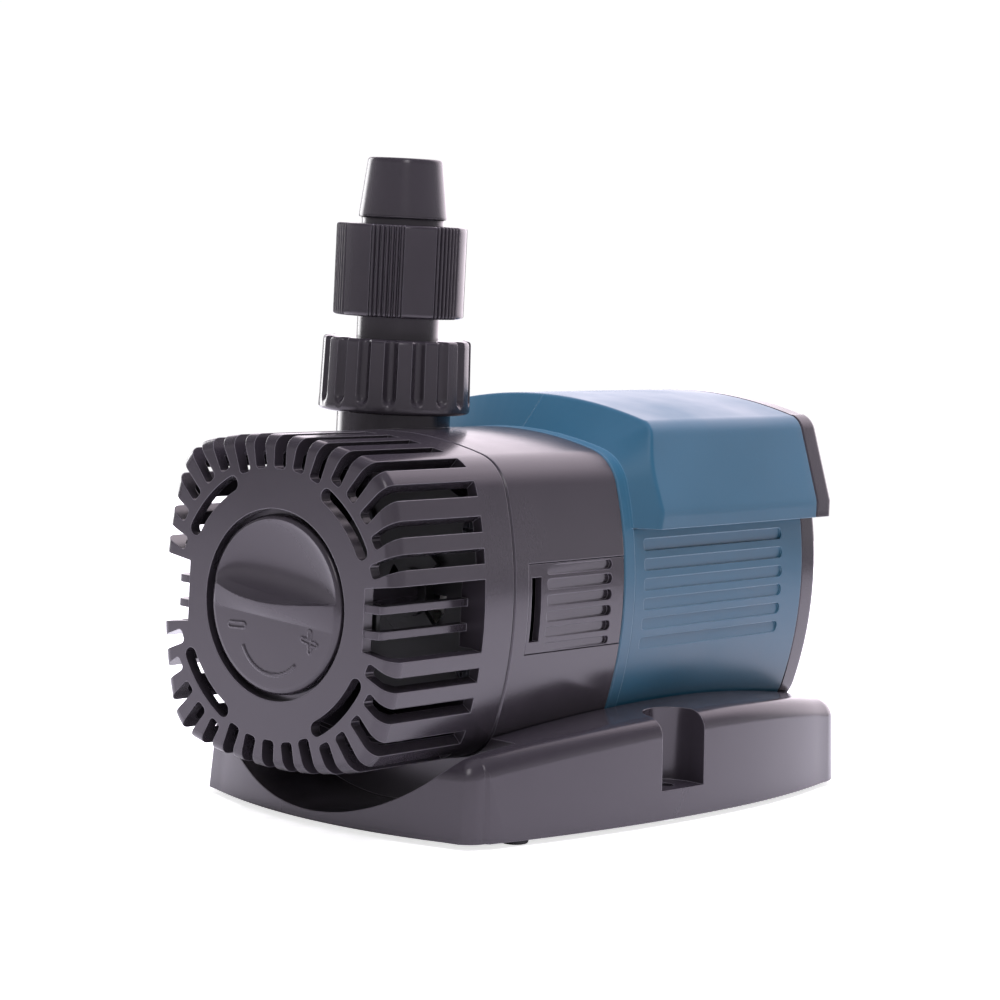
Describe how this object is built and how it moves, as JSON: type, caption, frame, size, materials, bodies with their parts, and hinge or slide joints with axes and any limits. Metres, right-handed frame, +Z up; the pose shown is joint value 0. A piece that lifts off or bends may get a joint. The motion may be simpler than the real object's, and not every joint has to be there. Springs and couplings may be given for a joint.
{
  "type": "fountain submersible pump",
  "caption": "Submersible fountain pump: canned-rotor motor under a blue hood, slotted suction cage with flow knob, upright threaded hose fitting and a screw-down base.",
  "frame": {"origin": "floor level under the middle of the overall box, where the rubber feet stand", "axes": "+Z up; the pump axis lies along Y with the suction cage and flow knob facing -Y and the cable gland facing +Y; +X is to the right seen from the front"},
  "size_m": [0.1328, 0.218, 0.1934],
  "materials": {
    "black_shell": "glossy moulded charcoal black",
    "inner_plastic": "satin moulded black",
    "blue_shell": "glossy moulded steel blue",
    "rubber": "dull soft rubber",
    "impeller_plastic": "satin moulded white",
    "ceramic": null,
    "magnet": null,
    "core_steel": "stacked steel sheets",
    "copper": null,
    "resin": "cast grey resin",
    "screw_steel": "bright stainless steel",
    "screw_black": "blackened steel"
  },
  "bodies": {
    "pump_body": {"base": "black_shell", "foot_front_right": "rubber", "foot_front_left": "rubber", "foot_rear_right": "rubber", "foot_rear_left": "rubber", "base_screw_front_right": "screw_steel", "base_screw_front_left": "screw_steel", "base_screw_rear_right": "screw_steel", "base_screw_rear_left": "screw_steel", "pump_housing": "black_shell", "suction_plate": "inner_plastic", "chamber_screw_1": "screw_black", "chamber_screw_2": "screw_black", "chamber_screw_3": "screw_black", "chamber_screw_4": "screw_black", "rotor_shaft": "ceramic", "front_bush": "rubber", "rear_bush": "rubber", "rotor_can": "inner_plastic", "can_o_ring": "rubber", "stator_core": "core_steel", "coil_upper": "copper", "coil_lower": "copper", "potting_resin": "resin", "motor_casing": "blue_shell", "hood": "blue_shell", "rear_cover": "black_shell", "cover_screw_1": "screw_steel", "cover_screw_2": "screw_steel", "cover_screw_3": "screw_steel", "cover_screw_4": "screw_steel", "gland_body": "inner_plastic", "gland_nut": "black_shell", "spigot_gasket": "rubber"},
    "rotor": {"impeller": "impeller_plastic", "rotor_magnet": "magnet"},
    "cage": {"front_cage": "black_shell", "knob_retainer": "inner_plastic"},
    "knob": {"flow_knob": "black_shell", "flow_shutter": "inner_plastic"},
    "tail": {"hose_tail": "black_shell"},
    "swivel_nut": {"union_nut": "black_shell"},
    "thumb_nut": {"clamp_nut": "black_shell"},
    "right_latch": {"latch_right": "black_shell"},
    "left_latch": {"latch_left": "black_shell"}
  },
  "joints": [
    {"name": "rotor_spin", "type": "hinge", "parent": "pump_body", "child": "rotor", "pos_m": [0, 0, 0.0651], "axis": [0, 1, 0], "continuous": true},
    {"name": "cage_slide", "type": "slide", "parent": "pump_body", "child": "cage", "axis": [0, -1, 0], "range_m": [0, 0.06]},
    {"name": "knob_turn", "type": "hinge", "parent": "cage", "child": "knob", "pos_m": [0, -0.1, 0.0651], "axis": [0, -1, 0], "range_deg": [-45, 45]},
    {"name": "tail_lift", "type": "slide", "parent": "pump_body", "child": "tail", "axis": [0, 0, 1], "range_m": [0, 0.00462]},
    {"name": "union_turn", "type": "hinge", "parent": "tail", "child": "swivel_nut", "pos_m": [-0.024, -0.0344, 0.128], "axis": [0, 0, 1], "range_deg": [0, 720]},
    {"name": "clamp_turn", "type": "hinge", "parent": "tail", "child": "thumb_nut", "pos_m": [-0.024, -0.0344, 0.16], "axis": [0, 0, 1], "range_deg": [-180, 180]},
    {"name": "latch_right_press", "type": "hinge", "parent": "pump_body", "child": "right_latch", "pos_m": [0.045, -0.0069, 0.0655], "axis": [0, 0, 1], "range_deg": [-3, 0], "stiffness_Nm_per_rad": 1},
    {"name": "latch_left_press", "type": "hinge", "parent": "pump_body", "child": "left_latch", "pos_m": [-0.045, -0.0069, 0.0655], "axis": [0, 0, 1], "range_deg": [0, 3], "stiffness_Nm_per_rad": 1}
  ],
  "couplings": [
    {"joint": "tail_lift", "follows": "union_turn", "m_per_rad": 0.0003675}
  ]
}
